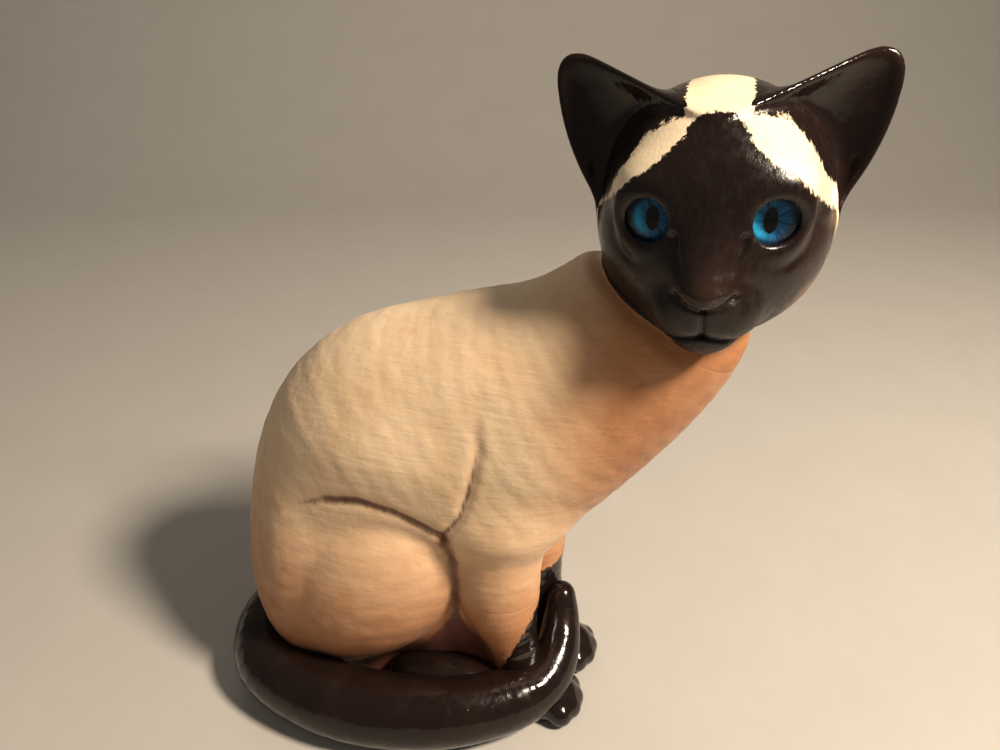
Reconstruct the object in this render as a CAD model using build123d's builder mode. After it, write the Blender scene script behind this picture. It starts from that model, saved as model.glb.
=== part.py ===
from build123d import *
import os
from math import cos, radians, sin

# A seated ceramic cat, slip-cast in pieces that are joined before firing, with glass eyes.
# Millimetres. +Z is up, -Y is the way the body faces, +X is the cat's left.
# Heights are above the table. "Back" is the distance behind the tips of the front toes.

os.makedirs("parts", exist_ok=True)

# ---- driving dimensions ----

WALL = 5.0                # thickness of the cast walls and of the floor
MIDLINE_X = 10.0          # the cat's midline, so that the origin is under the middle of the box
TOE_LINE_Y = -53.2        # tips of the front toes
DRAIN_RADIUS = 12.0       # hole in the floor that the slip was poured out of
DRAIN_BACK = 114
SIDES = {"left": 1, "right": -1}

# torso: back, height, forward lean of the section in degrees, half width, half depth
TORSO_SECTIONS = [
    (114, 0, 0, 39, 52),
    (123, 18, 4, 45, 60),
    (129, 45, 9, 49, 64),
    (122, 82, 24, 52, 65),
    (102, 122, 44, 51, 65),
    (64, 149, 58, 47, 58),
    (20, 176, 52, 39, 47),
    (-9, 206, 38, 28, 38),
    (-21, 232, 22, 21, 32),
    (-27, 252, 15, 18, 24),
]
HAUNCH_CENTRE = (25, 112, 78)       # sideways, back, height
HAUNCH_RADII = (37, 44, 62)
HAUNCH_LEAN = 41                    # degrees that its upper end leans forward
BELLY_CENTRE = (0, 80, 52)
BELLY_RADII = (37, 46, 57)
SHOULDER_CENTRE = (20, 42, 108)
SHOULDER_RADII = (21, 23, 34)

# forelegs: sideways, back, height, half width, half depth
FORELEG_SECTIONS = [
    (17, 27, 0, 11.5, 13.5),
    (17, 31, 20, 11.0, 12.5),
    (18, 35, 40, 12.0, 15.0),
    (20, 41, 60, 14.5, 19.0),
    (21, 44, 84, 18.0, 21.5),
    (21, 44, 108, 20.0, 21.5),
]
FOREPAW_CENTRE = (15, 19, 8)
FOREPAW_RADII = (14, 19, 14)
PAW_SHIFT = -5            # both paws stand a little to the cat's right
HIND_PAW_CENTRE = (36, 72, 10)
HIND_PAW_RADII = (17, 35, 20)

# tail: sideways, back, height, radius, from inside the rump to near the tip
TAIL_ROUTE = [
    (8, 150, 24, 18.0),
    (-23, 173, 19.8, 17.5),
    (-54, 157, 19.4, 17.5),
    (-65, 115, 19.4, 17.8),
    (-59, 72, 18.6, 17.0),
    (-44, 41, 17.8, 15.5),
    (-29, 23, 20, 13.5),
    (-13, 17, 27, 11.5),
    (0, 18, 38, 9.5),
    (7, 20, 48, 7.5),
]

# head: it looks over the cat's right shoulder
HEAD_CENTRE = (5, -30, 257)
HEAD_TURN = 88.5          # degrees to the cat's right
HEAD_TILT = 3.6           # degrees, left side up
# rounded forms that make up the head: sideways, back, height from its centre, and three radii
HEAD_FORMS = [
    (0, 3, 8, 38.5, 44, 37),
    (17, -7, -10, 22, 25, 22),
    (-17, -7, -10, 22, 25, 22),
    (0, -17, -14, 31, 28, 28),
    (0, -34, -22, 16, 17, 15),
]

# bead of slip inside the neck joint, between two sections of the neck: back, height, lean
SEAM_THICKNESS = 3.0
SEAM_LOW = (-14, 216, 30)
SEAM_HIGH = (-20, 230, 24)

# ears, from the head's centre; sections run from the root (0) to the tip (1)
EAR_ROOT = (26, 5, 16)
EAR_TIP = (55, 8, 51)
# steps from the root, half widths and half thicknesses
EAR_SECTIONS = [(-0.25, 27, 12), (0, 25.5, 11), (0.4, 19.5, 8.5), (0.75, 12, 6), (1, 3.5, 2.6)]
# hollow of the ear: the last number is its shift to the front
EAR_HOLLOW = [(-0.1, 19.0, 9.0, 8.5), (0.4, 14.0, 6.5, 6.5), (0.8, 6.0, 3.0, 3.5)]

# eyes
EYE_APEX = (20.2, -37.4, 4.9)
EYE_SPLAY = 14.0          # degrees that each eye looks outwards
EYE_RADIUS = 9.2
EYE_DOME = 4.5            # height of the clear dome
EYE_SKIRT = 1.2           # straight edge of the glass below the dome
IRIS_THICKNESS = 0.8
PUPIL_HALF = (2.1, 3.9)
PUPIL_THICKNESS = 0.3
BEDDING_WALL = 1.2
BEDDING_DEPTH = 4.5       # from the glass rim to the back of the putty
BEDDING_LIP = 0.4         # how far the putty stays below the rim
DOME_CURVE = (EYE_RADIUS ** 2 + EYE_DOME ** 2) / (2 * EYE_DOME)


# ---- places ----

def cat_point(sideways, back, height):
    return Vector(MIDLINE_X + sideways, TOE_LINE_Y + back, height)


def spine_plane(back, height, lean):
    return Plane(
        origin=cat_point(0, back, height),
        x_dir=(1, 0, 0),
        z_dir=(0, -sin(radians(lean)), cos(radians(lean))),
    )


turn = radians(HEAD_TURN)
tilt = radians(HEAD_TILT)
HEAD = Plane(
    origin=cat_point(*HEAD_CENTRE),
    x_dir=(cos(turn) * cos(tilt), -sin(turn) * cos(tilt), sin(tilt)),
    z_dir=(-cos(turn) * sin(tilt), sin(turn) * sin(tilt), cos(tilt)),
)


def head_direction(sideways, back, up):
    return HEAD.x_dir * sideways + HEAD.y_dir * back + HEAD.z_dir * up


def head_point(sideways, back, up):
    return HEAD.origin + head_direction(sideways, back, up)


def ear_plane(side, step):
    root = Vector(side * EAR_ROOT[0], EAR_ROOT[1], EAR_ROOT[2])
    tip = Vector(side * EAR_TIP[0], EAR_TIP[1], EAR_TIP[2])
    along = (tip - root).normalized()
    middle = root + (tip - root) * step
    return Plane(
        origin=head_point(*middle),
        x_dir=head_direction(along.Z, 0, -along.X),
        z_dir=head_direction(*along),
    )


def eye_plane(side):
    splay = radians(EYE_SPLAY)
    outwards = head_direction(side * sin(splay), -cos(splay), 0)
    apex = head_point(side * EYE_APEX[0], EYE_APEX[1], EYE_APEX[2])
    return Plane(origin=apex - outwards * EYE_DOME, x_dir=outwards.cross(HEAD.z_dir), z_dir=outwards)


# ---- solid forms, before they are hollowed and fitted to each other ----

def ellipsoid(plane, radii):
    with BuildPart() as ball:
        Sphere(1)
        scale(by=radii)
    return plane.location * ball.part


def torso_form(inset):
    with BuildPart() as form:
        for back, height, lean, half_width, half_depth in TORSO_SECTIONS:
            with BuildSketch(spine_plane(back, height, lean)):
                Ellipse(half_width - inset, half_depth - inset)
        loft()
    return form.part


def swelling_form(centre, radii, side, inset, lean=0):
    sideways, back, height = centre
    up = (0, -sin(radians(lean)), cos(radians(lean)))
    return ellipsoid(
        Plane(origin=cat_point(side * sideways, back, height), x_dir=(1, 0, 0), z_dir=up),
        tuple(radius - inset for radius in radii),
    )


def body_form(inset):
    torso = torso_form(inset)
    haunches = [
        swelling_form(HAUNCH_CENTRE, HAUNCH_RADII, side, inset, HAUNCH_LEAN) for side in SIDES.values()
    ]
    shoulders = [swelling_form(SHOULDER_CENTRE, SHOULDER_RADII, side, inset) for side in SIDES.values()]
    belly = swelling_form(BELLY_CENTRE, BELLY_RADII, 1, inset)
    with BuildPart() as form:
        add(torso)
        add(haunches)
        add(shoulders)
        add(belly)
        split(bisect_by=Plane.XY.offset(inset), keep=Keep.TOP)
    return form.part


def head_form(inset):
    lobes = []
    for sideways, back, up, *radii in HEAD_FORMS:
        place = Plane(origin=head_point(sideways, back, up), x_dir=HEAD.x_dir, z_dir=HEAD.z_dir)
        lobes.append(ellipsoid(place, tuple(radius - inset for radius in radii)))
    with BuildPart() as form:
        add(lobes)
    return form.part


def foreleg_form(side):
    sideways, back, height = FOREPAW_CENTRE
    paw_place = Plane(origin=cat_point(side * sideways + PAW_SHIFT, back, height))
    paw = ellipsoid(paw_place, FOREPAW_RADII)
    top = FORELEG_SECTIONS[-1][2]
    with BuildPart() as form:
        for sideways, back, height, half_width, half_depth in FORELEG_SECTIONS:
            shift = PAW_SHIFT * (1 - height / top)
            with BuildSketch(Plane(origin=cat_point(side * sideways + shift, back, height))):
                Ellipse(half_width, half_depth)
        loft()
        add(paw)
        split(bisect_by=Plane.XY, keep=Keep.TOP)
    return form.part


def tail_form():
    points = [cat_point(sideways, back, height) for sideways, back, height, radius in TAIL_ROUTE]
    tip_radius = TAIL_ROUTE[-1][3]
    with BuildPart() as form:
        with BuildLine() as route:
            Spline(*points)
        line = route.edges()[0]
        for point, (_, _, _, radius) in zip(points, TAIL_ROUTE):
            with BuildSketch(Plane(origin=point, z_dir=line.tangent_at(line.param_at_point(point)))):
                Circle(radius)
        sweep(path=line, multisection=True)
        with Locations(points[-1]):
            Sphere(tip_radius)
    return form.part


body_outside = body_form(0)
body_cavity = body_form(WALL)
head_outside = head_form(0)
head_cavity = head_form(WALL)
neck_bore = torso_form(WALL)
neck_bore_lined = torso_form(WALL + SEAM_THICKNESS)
forelegs = {name: foreleg_form(side) for name, side in SIDES.items()}
tail_whole = tail_form()


# ---- castings ----

with BuildPart() as body_casting:
    add(body_outside)
    add(body_cavity, mode=Mode.SUBTRACT)
    add(head_outside, mode=Mode.SUBTRACT)
    with BuildSketch(Plane(origin=cat_point(0, DRAIN_BACK, 0))):
        Circle(DRAIN_RADIUS)
    extrude(amount=WALL, mode=Mode.SUBTRACT)
body_casting.part.label = "body_casting"
export_step(body_casting.part, "parts/body_casting.step")

# a bead of slip smoothed round the inside of the joint between neck and head
with BuildPart() as neck_slip_seam:
    add(neck_bore)
    add(neck_bore_lined, mode=Mode.SUBTRACT)
    split(bisect_by=spine_plane(*SEAM_LOW), keep=Keep.TOP)
    split(bisect_by=spine_plane(*SEAM_HIGH), keep=Keep.BOTTOM)
neck_slip_seam.part.label = "neck_slip_seam"
export_step(neck_slip_seam.part, "parts/neck_slip_seam.step")

with BuildPart() as tail:
    add(tail_whole)
    add(body_outside, mode=Mode.SUBTRACT)
    add(list(forelegs.values()), mode=Mode.SUBTRACT)
tail.part.label = "tail"
export_step(tail.part, "parts/tail.step")

for name, side in SIDES.items():
    with BuildPart() as foreleg:
        add(forelegs[name])
        add(body_outside, mode=Mode.SUBTRACT)
    foreleg.part.label = f"{name}_foreleg"
    export_step(foreleg.part, f"parts/{name}_foreleg.step")

    hind_sideways, hind_back, hind_height = HIND_PAW_CENTRE
    paw_place = Plane(origin=cat_point(side * hind_sideways, hind_back, hind_height))
    paw_form = ellipsoid(paw_place, HIND_PAW_RADII)
    with BuildPart() as hind_paw:
        add(paw_form)
        split(bisect_by=Plane.XY, keep=Keep.TOP)
        add(body_outside, mode=Mode.SUBTRACT)
        add(tail_whole, mode=Mode.SUBTRACT)
        add(forelegs[name], mode=Mode.SUBTRACT)
    hind_paw.part.label = f"{name}_hind_paw"
    export_step(hind_paw.part, f"parts/{name}_hind_paw.step")

    with BuildPart() as ear:
        for step, half_width, half_thickness in EAR_SECTIONS:
            with BuildSketch(ear_plane(side, step)):
                Ellipse(half_width, half_thickness)
        loft()
        for step, half_width, half_thickness, forward in EAR_HOLLOW:
            hollow_place = ear_plane(side, step)
            with BuildSketch(Plane(hollow_place.origin - hollow_place.y_dir * forward,
                                   x_dir=hollow_place.x_dir, z_dir=hollow_place.z_dir)):
                Ellipse(half_width, half_thickness)
        loft(mode=Mode.SUBTRACT)
        add(head_outside, mode=Mode.SUBTRACT)
    ear.part.label = f"{name}_ear"
    export_step(ear.part, f"parts/{name}_ear.step")


# ---- glass eyes, each from the outside in: clear dome, painted pupil, painted iris, putty ----

sockets = []
for name, side in SIDES.items():
    eye = eye_plane(side)
    profile_plane = Plane(origin=eye.origin, x_dir=eye.x_dir, z_dir=-eye.y_dir)
    eye_axis = Axis(eye.origin, eye.z_dir)
    iris_face = Plane(eye.origin - eye.z_dir * EYE_SKIRT, x_dir=eye.x_dir, z_dir=-eye.z_dir)
    bedding_radius = EYE_RADIUS + BEDDING_WALL

    with BuildPart() as eye_glass:
        with BuildSketch(profile_plane):
            with BuildLine():
                Polyline((0, EYE_DOME), (0, -EYE_SKIRT), (EYE_RADIUS, -EYE_SKIRT), (EYE_RADIUS, 0))
                RadiusArc((EYE_RADIUS, 0), (0, EYE_DOME), -DOME_CURVE)
            make_face()
        revolve(axis=eye_axis)
    eye_glass.part.label = f"{name}_eye_glass"
    export_step(eye_glass.part, f"parts/{name}_eye_glass.step")

    with BuildPart() as eye_pupil:
        with BuildSketch(iris_face):
            Ellipse(*PUPIL_HALF)
        extrude(amount=PUPIL_THICKNESS)
    eye_pupil.part.label = f"{name}_eye_pupil"
    export_step(eye_pupil.part, f"parts/{name}_eye_pupil.step")

    with BuildPart() as eye_iris:
        with BuildSketch(iris_face):
            Circle(EYE_RADIUS)
        extrude(amount=IRIS_THICKNESS)
        add(eye_pupil.part, mode=Mode.SUBTRACT)
    eye_iris.part.label = f"{name}_eye_iris"
    export_step(eye_iris.part, f"parts/{name}_eye_iris.step")

    bedding_back = Plane(eye.origin - eye.z_dir * BEDDING_DEPTH, x_dir=eye.x_dir, z_dir=eye.z_dir)
    with BuildPart() as socket:
        with BuildSketch(bedding_back):
            Circle(bedding_radius)
        extrude(amount=BEDDING_DEPTH + EYE_DOME)
    sockets.append(socket.part)

    with BuildPart() as eye_bedding:
        with BuildSketch(bedding_back):
            Circle(bedding_radius)
        extrude(amount=BEDDING_DEPTH - BEDDING_LIP)
        add([eye_glass.part, eye_iris.part, eye_pupil.part], mode=Mode.SUBTRACT)
    eye_bedding.part.label = f"{name}_eye_bedding"
    export_step(eye_bedding.part, f"parts/{name}_eye_bedding.step")

with BuildPart() as head_casting:
    add(head_outside)
    add(head_cavity, mode=Mode.SUBTRACT)
    add(neck_bore, mode=Mode.SUBTRACT)
    add(sockets, mode=Mode.SUBTRACT)
head_casting.part.label = "head_casting"
export_step(head_casting.part, "parts/head_casting.step")
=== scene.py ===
import math

import bpy
import numpy as np
import openvdb
from mathutils import Matrix, Vector


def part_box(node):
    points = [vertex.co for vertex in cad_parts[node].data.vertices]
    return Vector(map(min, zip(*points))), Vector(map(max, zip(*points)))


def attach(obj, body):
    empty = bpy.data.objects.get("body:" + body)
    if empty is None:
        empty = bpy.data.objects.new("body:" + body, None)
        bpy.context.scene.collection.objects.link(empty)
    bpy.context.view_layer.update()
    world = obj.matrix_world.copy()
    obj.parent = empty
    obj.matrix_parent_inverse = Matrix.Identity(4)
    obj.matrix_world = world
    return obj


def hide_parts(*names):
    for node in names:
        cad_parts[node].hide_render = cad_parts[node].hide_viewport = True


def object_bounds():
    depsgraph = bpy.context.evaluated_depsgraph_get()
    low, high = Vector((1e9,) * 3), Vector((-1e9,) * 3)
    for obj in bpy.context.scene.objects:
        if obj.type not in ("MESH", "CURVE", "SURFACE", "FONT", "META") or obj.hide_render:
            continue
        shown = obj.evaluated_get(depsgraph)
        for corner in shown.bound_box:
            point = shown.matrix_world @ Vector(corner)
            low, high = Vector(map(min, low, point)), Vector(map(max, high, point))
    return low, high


# The looks of a seated ceramic cat. Every ceramic piece is sculpted as a distance field: rounded
# forms are blended into each other, grooves are cut, and the field is turned into a mesh.
#
# Sculpting is done in the cat's own millimetres: sideways (the cat's left is positive), back
# (from the tips of the front toes) and height above the table. cat_to_row() turns them into metres
# in the row's frame. The head has its own axes, with its middle between and behind the eyes.

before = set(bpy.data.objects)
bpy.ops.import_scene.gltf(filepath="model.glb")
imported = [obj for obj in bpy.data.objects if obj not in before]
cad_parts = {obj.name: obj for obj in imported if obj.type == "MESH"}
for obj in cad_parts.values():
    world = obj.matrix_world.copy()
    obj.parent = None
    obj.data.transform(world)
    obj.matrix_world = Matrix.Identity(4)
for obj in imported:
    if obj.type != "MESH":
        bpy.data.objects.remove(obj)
CAD_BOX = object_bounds()
F32 = np.float32
SIDES = {"left": 1, "right": -1}


# ---- places, from the frame ----

def middle(node):
    low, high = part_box(node)
    return [(low[axis] + high[axis]) / 2 for axis in range(3)]


DESIGN_HEIGHT = 313.53                                    # what the sculpture is laid out for
MM = (CAD_BOX[1][2] - CAD_BOX[0][2]) / DESIGN_HEIGHT      # metres in one of the cat's millimetres
TOE_LINE_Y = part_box("left_foreleg")[0][1]
MIDLINE_X = middle("body_casting")[0]                     # the torso is the same on both sides

# the head's axes, from the two eyes: its left side, and up
left_eye = np.array(middle("left_eye_glass"))
right_eye = np.array(middle("right_eye_glass"))
HEAD_SIDE = (left_eye - right_eye) / np.linalg.norm(left_eye - right_eye)
HEAD_BACK = np.cross((0, 0, 1), HEAD_SIDE)
HEAD_BACK /= np.linalg.norm(HEAD_BACK)
HEAD_UP = np.cross(HEAD_SIDE, HEAD_BACK)
EYE_PLACE = (20.2, -35.2, 4.9)                            # middle of an eye's glass, in head mm
EYE_SPLAY = math.radians(14)                              # how far each eye looks outwards
HEAD_MIDDLE = (left_eye + right_eye) / 2 - (HEAD_BACK * EYE_PLACE[1] + HEAD_UP * EYE_PLACE[2]) * MM
HEAD_AXES = np.array([HEAD_SIDE, HEAD_BACK, HEAD_UP])
ORIGIN = np.array([MIDLINE_X, TOE_LINE_Y, 0.0])
HEAD_IN_CAT = (HEAD_MIDDLE - ORIGIN) / MM


def cat_to_row(points):
    return points * MM + ORIGIN


def head_to_row(points):
    return points @ HEAD_AXES * MM + HEAD_MIDDLE


def cat_to_head(p):
    offset = [p[axis] - F32(HEAD_IN_CAT[axis]) for axis in range(3)]
    return tuple(sum(F32(row[axis]) * offset[axis] for axis in range(3)) for row in HEAD_AXES)


def head_to_cat(q):
    return tuple(
        sum(F32(HEAD_AXES[row][axis]) * q[row] for row in range(3)) + F32(HEAD_IN_CAT[axis])
        for axis in range(3)
    )


# ---- distance fields; p is a tuple of three arrays ----

def ellipsoid(p, centre, radii):
    q = [(p[axis] - F32(centre[axis])) / F32(radii[axis]) for axis in range(3)]
    near = np.sqrt(q[0] ** 2 + q[1] ** 2 + q[2] ** 2)
    slope = np.sqrt(sum((q[axis] / F32(radii[axis])) ** 2 for axis in range(3))) + F32(1e-6)
    return near * (near - 1) / slope


def cone(p, start, end, start_radius, end_radius):
    start = np.array(start, float)
    along = np.array(end, float) - start
    q = [p[axis] - F32(start[axis]) for axis in range(3)]
    t = np.clip(sum(q[axis] * F32(along[axis]) for axis in range(3)) / F32(along @ along), 0, 1)
    gap = np.sqrt(sum((q[axis] - t * F32(along[axis])) ** 2 for axis in range(3)))
    return gap - (F32(start_radius) + t * F32(end_radius - start_radius))


def union(a, b, blend):
    share = np.maximum(blend - np.abs(a - b), 0) / blend
    return np.minimum(a, b) - share * share * blend / 4


def meet(a, b, blend):
    return -union(-a, -b, blend)


def carve(a, b, blend):
    return meet(a, -b, blend)


def ramp(x, low, high):
    t = np.clip((x - low) / (high - low), 0, 1)
    return t * t * (3 - 2 * t)


def smooth_rows(rows, steps):
    """More rows in between, on a curve through every row."""
    rows = np.array(rows, float)
    rows = np.vstack([2 * rows[0] - rows[1], rows, 2 * rows[-1] - rows[-2]])
    out = []
    for a, b, c, d in zip(rows, rows[1:], rows[2:], rows[3:]):
        for t in np.arange(steps) / steps:
            out.append(0.5 * (2 * b + (c - a) * t + (2 * a - 5 * b + 4 * c - d) * t ** 2
                              + (3 * b - a - 3 * c + d) * t ** 3))
    out.append(rows[-2])
    return out


def tube(p, rows, steps=5):
    """rows: three coordinates and a radius."""
    rows = smooth_rows(rows, steps)
    parts = [cone(p, a[:3], b[:3], a[3], b[3]) for a, b in zip(rows, rows[1:])]
    return np.minimum.reduce(parts)


def line_gap(u, v, points):
    """Distance in a flat view from a line through the points."""
    gaps = []
    for (a, b), (c, d) in zip(points, points[1:]):
        du, dv = c - a, d - b
        t = np.clip(((u - a) * du + (v - b) * dv) / (du * du + dv * dv), 0, 1)
        gaps.append(np.sqrt((u - a - t * du) ** 2 + (v - b - t * dv) ** 2))
    return np.minimum.reduce(gaps)


def turned(p, centre, angle):
    """p about a centre, turned in the side view so that the third coordinate leans forward."""
    back = p[1] - F32(centre[1])
    height = p[2] - F32(centre[2])
    cos, sin = F32(math.cos(math.radians(angle))), F32(math.sin(math.radians(angle)))
    return p[0] - F32(centre[0]), back * cos + height * sin, height * cos - back * sin


def groove(gap, depth, width):
    return depth * np.exp(-(gap / width) ** 2)


def strokes(p, run, size):
    """Uneven tool marks between -1 and 1: waves that are long one way and short the other."""
    u = (p[1] * F32(run[0]) + p[2] * F32(run[1])) / F32(size)
    v = (p[2] * F32(run[0]) - p[1] * F32(run[1]) + p[0] * F32(0.6)) / F32(size)
    bend = np.sin(v * F32(0.31) + 1.7 * np.sin(u * F32(0.23)))
    marks = np.sin(v * F32(2.3) + 1.9 * bend + 0.9 * np.sin(u * F32(0.71) + 1.3 * bend))
    return marks * np.sin(u * F32(0.52) + 2.1 * np.sin(v * F32(0.63) + u * F32(0.17)))


# ---- torso, haunches and forelegs ----

# back, height, half width, half depth along the spine
TORSO = [
    (136, 40, 45, 44), (132, 84, 51, 52), (104, 128, 51, 63), (62, 149, 47, 62),
    (20, 177, 39, 48), (-9, 207, 28, 39), (-21, 232, 20, 32), (-27, 252, 16, 22),
]
DRAIN_BACK = 114            # the hole in the floor that the slip was poured out of
DRAIN_RADIUS = 12
DRAIN_DEPTH = 22
# back, height: the creases painted on the flanks
HAUNCH_CREASE = [(146, 112), (134, 121), (117, 129), (99, 132.5), (83, 129), (63, 118)]
FLANK_CREASE = [(63, 118), (54, 131), (50, 144), (46, 165), (48, 186)]


def torso(p):
    rows = smooth_rows(TORSO, 6)
    parts = []
    for a, b in zip(rows, rows[1:]):
        d_back, d_height = b[0] - a[0], b[1] - a[1]
        t = ((p[1] - F32(a[0])) * F32(d_back) + (p[2] - F32(a[1])) * F32(d_height))
        t = np.clip(t / F32(d_back ** 2 + d_height ** 2), 0, 1)
        off_back = p[1] - (F32(a[0]) + t * F32(d_back))
        off_height = p[2] - (F32(a[1]) + t * F32(d_height))
        half_width = F32(a[2]) + t * F32(b[2] - a[2])
        half_depth = F32(a[3]) + t * F32(b[3] - a[3])
        ring = np.sqrt((off_back ** 2 + off_height ** 2) / half_depth ** 2 + (p[0] / half_width) ** 2)
        parts.append((ring - 1) * np.minimum(half_width, half_depth))
    return np.minimum.reduce(parts)


def foreleg(p, side):
    inward = -6 if side > 0 else -3       # the paws stand a little to the cat's right
    ahead = 3 if side > 0 else 0
    rows = [(side * 20, 44, 112, 22), (side * 21, 44 - ahead, 84, 19),
            (side * 20 + inward * 0.4, 41 - ahead, 58, 15),
            (side * 19 + inward * 0.8, 36 - ahead, 34, 12), (side * 19 + inward, 29, 16, 11.5)]
    leg = tube(p, rows, 5)
    elbow = ellipsoid(turned(p, (side * 24, 50, 82), -15), (0, 0, 0), (13, 17, 34))
    return union(leg, elbow, 12)


def forepaw(p, side):
    middle_x = side * 19 + (-6 if side > 0 else -3)
    paw = ellipsoid(p, (middle_x, 21, 8), (13.5, 19, 13))
    for toe in (-1.5, -0.5, 0.5, 1.5):
        back = 5.6 + 1.5 * toe * toe
        tip = (middle_x + toe * 5.8, back + 0.6, 6.6)
        knuckle = (middle_x + toe * 4.8, back + 10, 11)
        paw = union(paw, cone(p, knuckle, tip, 5.4, 6.0), 1.8)
    return paw


def haunch(p, side):
    """A flattened egg whose upper end leans forward."""
    return ellipsoid(turned(p, (side * 25, 112, 71.5), 40), (0, 0, 0), (38, 45, 66))


def hind_paw(p, side):
    paw = ellipsoid(p, (side * 36, 67, 11), (17, 33, 22.5))
    for toe in (-1.5, -0.5, 0.5, 1.5):
        tip = (side * 36 + toe * 6.4, 44 + 1.2 * toe * toe, 7)
        knuckle = (side * 36 + toe * 5, 58, 14)
        paw = union(paw, cone(p, knuckle, tip, 5.5, 6.2), 3)
    return paw


def trunk(p):
    """Everything between the head and the paws but the forelegs."""
    field = torso(p)
    field = union(field, ellipsoid(p, (0, 86, 58), (40, 44, 56)), 10)
    field = union(field, ellipsoid(p, (0, 66, 18), (30, 34, 30)), 12)
    foot = ellipsoid(p, (0, 122, 6), (38, 52, 36))
    field = union(field, foot, 16)
    for side in SIDES.values():
        rear = ramp(p[1], 112, 150)
        field = union(field, haunch(p, side), 2.5 + 24 * rear)
    return field


def forelegs(p):
    return np.minimum(foreleg(p, 1), foreleg(p, -1))


def tool_marks(p):
    """Curved marks on the haunches, long and slanting ones on the back, flanks and neck."""
    low = 1 - ramp(p[2], 108, 136)
    curved = 0.16 * low * strokes(p, (0.93, -0.37), 4.6)
    return curved + 0.08 * (1 - low) * strokes(p, (0.6, 0.8), 5.6)


def upper_body(p):
    """The whole skin below the head, with the creases pressed in."""
    legs = forelegs(p)
    top = ramp(p[2], 84, 118)
    field = union(trunk(p), legs, 2.0 + 20 * top)
    flank = ramp(np.abs(p[0]), 14, 30)
    fade = 1 - ramp(p[1], 104, 138)
    field = field + flank * fade * groove(line_gap(p[1], p[2], HAUNCH_CREASE), 1.6, 2.6)
    fade = 1 - ramp(p[2], 150, 195)
    field = field + flank * fade * groove(line_gap(p[1], p[2], FLANK_CREASE), 1.2, 2.4)
    field = field + tool_marks(p)
    # the muscle above the haunch crease stands a little proud, and so does the shoulder
    field = field - 2.2 * flank * np.exp(-((p[1] - 92) / 34) ** 2 - ((p[2] - 152) / 15) ** 2)
    field = field - 2.0 * flank * np.exp(-((p[1] - 22) / 20) ** 2 - ((p[2] - 150) / 30) ** 2)
    return field


TAIL = [
    (8, 150, 24, 18), (-23, 173, 18, 17.5), (-54, 158, 17.5, 17.5), (-65, 115, 17.5, 17.8),
    (-59, 72, 17.5, 17), (-44, 41, 17.5, 15.5), (-29, 23, 20, 13.5), (-13, 17, 27, 11.5),
    (0, 18, 38, 9.5), (7, 20, 48, 7.5),
]


def tail(p):
    return meet(tube(p, TAIL, 6), -p[2], 2.0)


# ---- head ----

EAR_INNER = (12, 39)      # sideways and up: where the ear leaves the crown
EAR_OUTER = (43, 2)
EAR_TIPS = {"left": (57.2, 56.3), "right": (59, 58.3)}
EAR_BULGE = 5.5             # how far the ear's outer edge bows out
NOSE_LINE = [(-9.5, -17.5), (-5, -20.5), (0, -22), (5, -20.5), (9.5, -17.5)]
MOUTH_LINE = [(-12, -36.5), (-6, -35.2), (0, -33.4), (6, -35.2), (12, -36.5)]


def edge(p, side, start, end):
    """Signed distance from a straight edge in the front view; the inside is negative."""
    across = np.array((end[1] - start[1], start[0] - end[0]), float)
    across /= np.linalg.norm(across)
    return (p[0] * side - F32(start[0])) * F32(across[0]) + (p[2] - F32(start[1])) * F32(across[1])


def ear_base(p, side):
    """How far a point is beyond the line where the ear stands on the head."""
    return -edge(p, side, EAR_INNER, EAR_OUTER)


def ear(p, side):
    """A cupped sheet with thick rounded edges, cut to a three-cornered outline."""
    tip = EAR_TIPS["left" if side > 0 else "right"]
    inner = -edge(p, side, EAR_INNER, tip)
    along = np.clip((p[2] - EAR_OUTER[1]) / (tip[1] - EAR_OUTER[1]), 0, 1)
    outer = -edge(p, side, tip, EAR_OUTER) - EAR_BULGE * 4 * along * (1 - along)
    outline = meet(meet(inner, outer, 14.0), -ear_base(p, side) - 12, 4.0)
    height = ramp(ear_base(p, side), -5, 45)
    cup = (11 - 4 * height) * (1 - np.exp(-np.clip(-outline, 0, 20) / 7.0))
    # the inner edge rolls forward towards the forehead
    roll = 15 * (1 - height) * np.exp(-np.clip(-inner, 0, 60) / 15.0)
    middle_y = 6.0 * height + cup - roll
    slope = np.sqrt(1 + (roll / 15.0) ** 2)
    sheet = np.abs(p[1] - middle_y) / slope - (4.4 - 1.4 * height)
    return meet(outline, sheet * 0.85, 4.0)


def skull(p):
    field = ellipsoid(p, (0, 3, 8), (38.5, 44, 37))
    for side in SIDES.values():
        field = union(field, ellipsoid(p, (side * 16.5, -8, -11), (23, 25, 23)), 14)
    field = union(field, ellipsoid(p, (0, -16, -17), (29, 27, 26)), 12)
    field = union(field, cone(p, (0, -26, -1), (0, -42, -16), 13.5, 8.5), 12)
    for side in SIDES.values():
        field = union(field, ellipsoid(p, (side * 7.0, -36, -26), (11.5, 11.5, 9.5)), 6)
        field = union(field, ellipsoid(p, (side * 19, -27, 15), (11.5, 7.5, 6)), 13)
    field = union(field, ellipsoid(p, (0, -31, -36), (11.5, 11, 8)), 5)
    return field


def eye_frame(p, side):
    """Coordinates about an eye: across it, up it, and out of the head along its axis."""
    x = p[0] - F32(side * EYE_PLACE[0])
    y = p[1] - F32(EYE_PLACE[1])
    out = x * F32(side * math.sin(EYE_SPLAY)) - y * F32(math.cos(EYE_SPLAY))
    across = x * F32(math.cos(EYE_SPLAY)) + y * F32(side * math.sin(EYE_SPLAY))
    return across, p[2] - F32(EYE_PLACE[2]), out


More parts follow.
